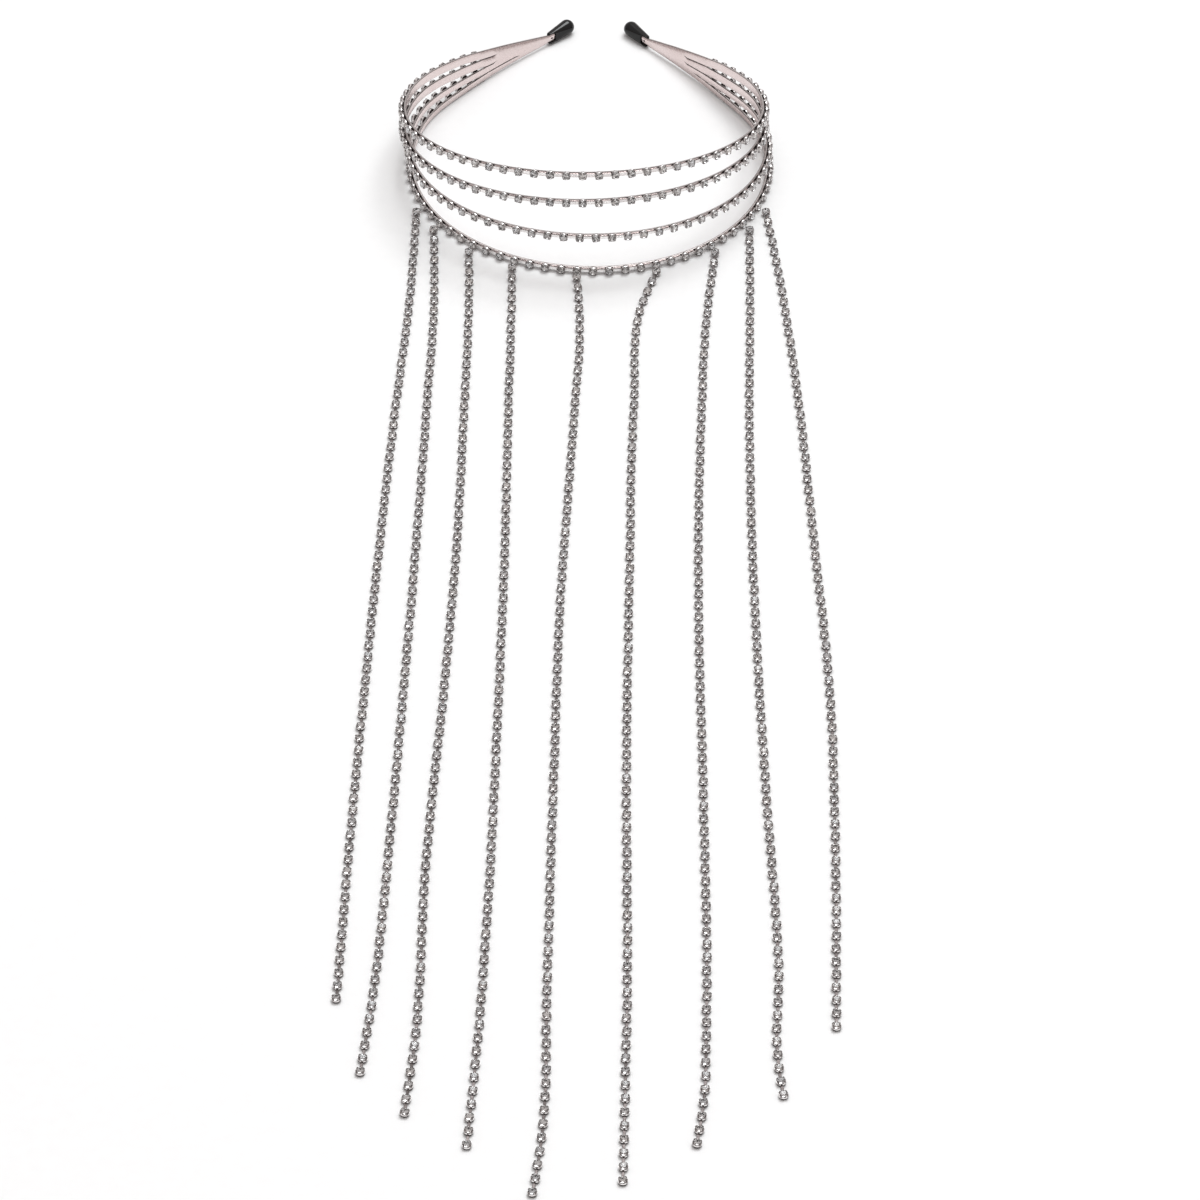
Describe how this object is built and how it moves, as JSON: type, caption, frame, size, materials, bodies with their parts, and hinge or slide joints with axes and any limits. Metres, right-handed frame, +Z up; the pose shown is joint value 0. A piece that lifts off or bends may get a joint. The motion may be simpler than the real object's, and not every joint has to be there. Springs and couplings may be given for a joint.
{
  "type": "rhinestone tassel headband",
  "caption": "Silver rhinestone headband of four thin strips that fan out from black-tipped ends, each set with cup chain, with nine long rhinestone tassels hanging from the lowest strip.",
  "frame": {"origin": "on the table, under the centre of the whole piece's box", "axes": "+Y along the table towards the band's two covered ends, -Y towards the tassels' free ends, +Z up"},
  "size_m": [0.1652, 0.5706, 0.0409],
  "materials": {
    "silver_plate": "bright silver-coloured plating",
    "clear_crystal": "clear cut stones with foiled backs in bright silver-coloured cups",
    "black_cover": "glossy black"
  },
  "bodies": {
    "root": {"headband_frame": "silver_plate", "tip_cover_left": "black_cover", "tip_cover_right": "black_cover", "band_chain_1": "clear_crystal", "band_chain_2": "clear_crystal", "band_chain_3": "clear_crystal", "band_chain_4": "clear_crystal", "tassel_1": "clear_crystal", "tassel_2": "clear_crystal", "tassel_3": "clear_crystal", "tassel_4": "clear_crystal", "tassel_5": "clear_crystal", "tassel_6": "clear_crystal", "tassel_7": "clear_crystal", "tassel_8": "clear_crystal", "tassel_9": "clear_crystal"}
  },
  "joints": []
}
